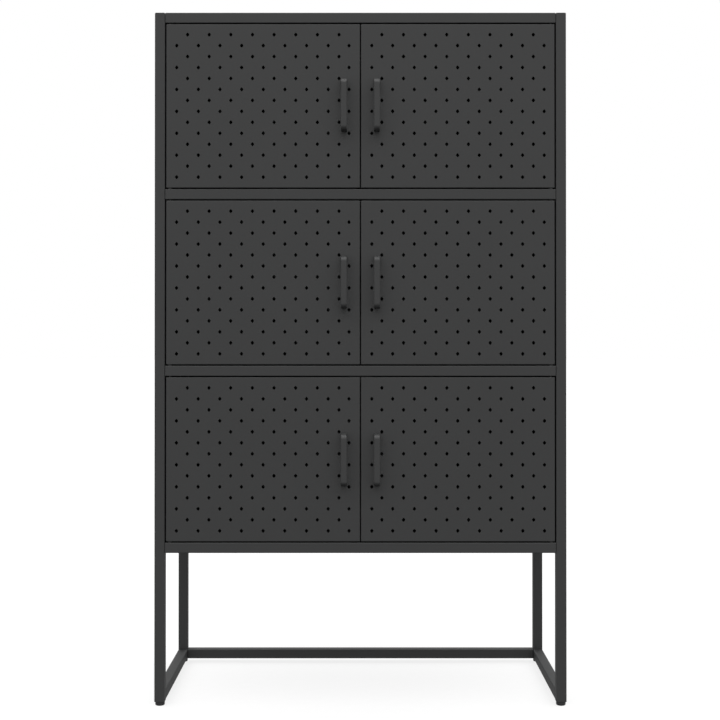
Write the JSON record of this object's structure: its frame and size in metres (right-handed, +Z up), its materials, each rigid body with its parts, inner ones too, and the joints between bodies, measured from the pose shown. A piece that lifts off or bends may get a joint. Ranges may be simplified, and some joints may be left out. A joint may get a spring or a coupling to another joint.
{
  "type": "metal storage cabinet",
  "caption": "Tall sheet-steel cabinet with perforated hinged doors in rows, on an open square-tube base with round glides.",
  "frame": {"origin": "on the floor, at the middle of the bounding box in X and Y", "axes": "+Z up, the doors face -Y, +X to the right of someone facing the doors"},
  "size_m": [0.8, 0.374, 1.3467],
  "materials": {
    "frame_tube": "anthracite powder coat, fine texture, satin",
    "body_sheet": "anthracite powder coat, fine texture, satin",
    "door_sheet": "anthracite powder coat, fine texture, satin",
    "handle": "anthracite powder coat, smooth, satin",
    "hinge_pin": "black oxide steel",
    "washer": "black nylon",
    "catch": "moulded black plastic with plated pole plates",
    "foot": "moulded black plastic"
  },
  "bodies": {
    "cabinet": {"post_front_left": "frame_tube", "post_rear_left": "frame_tube", "post_front_right": "frame_tube", "post_rear_right": "frame_tube", "top_rail_left": "frame_tube", "top_rail_right": "frame_tube", "cabinet_rail_left": "frame_tube", "cabinet_rail_right": "frame_tube", "base_rail_left": "frame_tube", "base_rail_right": "frame_tube", "base_rail_rear": "frame_tube", "bottom_board": "body_sheet", "lower_shelf": "body_sheet", "upper_shelf": "body_sheet", "top_board": "body_sheet", "side_panel_left": "body_sheet", "side_panel_right": "body_sheet", "back_panel_lower": "body_sheet", "back_panel_middle": "body_sheet", "back_panel_upper": "body_sheet", "foot_front_left": "foot", "foot_rear_left": "foot", "foot_front_right": "foot", "foot_rear_right": "foot", "hinge_washer_lower_left": "washer", "hinge_washer_lower_right": "washer", "hinge_washer_middle_left": "washer", "hinge_washer_middle_right": "washer", "hinge_washer_upper_left": "washer", "hinge_washer_upper_right": "washer", "magnetic_catch_lower": "catch", "magnetic_catch_middle": "catch", "magnetic_catch_upper": "catch"},
    "door_lower_left_body": {"door_lower_left": "door_sheet", "handle_lower_left": "handle", "hinge_pin_top_lower_left": "hinge_pin", "hinge_pin_bottom_lower_left": "hinge_pin"},
    "door_lower_right_body": {"door_lower_right": "door_sheet", "handle_lower_right": "handle", "hinge_pin_top_lower_right": "hinge_pin", "hinge_pin_bottom_lower_right": "hinge_pin"},
    "door_middle_left_body": {"door_middle_left": "door_sheet", "handle_middle_left": "handle", "hinge_pin_top_middle_left": "hinge_pin", "hinge_pin_bottom_middle_left": "hinge_pin"},
    "door_middle_right_body": {"door_middle_right": "door_sheet", "handle_middle_right": "handle", "hinge_pin_top_middle_right": "hinge_pin", "hinge_pin_bottom_middle_right": "hinge_pin"},
    "door_upper_left_body": {"door_upper_left": "door_sheet", "handle_upper_left": "handle", "hinge_pin_top_upper_left": "hinge_pin", "hinge_pin_bottom_upper_left": "hinge_pin"},
    "door_upper_right_body": {"door_upper_right": "door_sheet", "handle_upper_right": "handle", "hinge_pin_top_upper_right": "hinge_pin", "hinge_pin_bottom_upper_right": "hinge_pin"}
  },
  "joints": [
    {"name": "door_lower_left_hinge", "type": "hinge", "parent": "cabinet", "child": "door_lower_left_body", "pos_m": [-0.3705, -0.158, 0.3189], "axis": [0, 0, -1], "range_deg": [0, 110]},
    {"name": "door_lower_right_hinge", "type": "hinge", "parent": "cabinet", "child": "door_lower_right_body", "pos_m": [0.3705, -0.158, 0.3189], "axis": [0, 0, 1], "range_deg": [0, 110]},
    {"name": "door_middle_left_hinge", "type": "hinge", "parent": "cabinet", "child": "door_middle_left_body", "pos_m": [-0.3705, -0.158, 0.6623], "axis": [0, 0, -1], "range_deg": [0, 110]},
    {"name": "door_middle_right_hinge", "type": "hinge", "parent": "cabinet", "child": "door_middle_right_body", "pos_m": [0.3705, -0.158, 0.6623], "axis": [0, 0, 1], "range_deg": [0, 110]},
    {"name": "door_upper_left_hinge", "type": "hinge", "parent": "cabinet", "child": "door_upper_left_body", "pos_m": [-0.3705, -0.158, 1.0057], "axis": [0, 0, -1], "range_deg": [0, 110]},
    {"name": "door_upper_right_hinge", "type": "hinge", "parent": "cabinet", "child": "door_upper_right_body", "pos_m": [0.3705, -0.158, 1.0057], "axis": [0, 0, 1], "range_deg": [0, 110]}
  ]
}
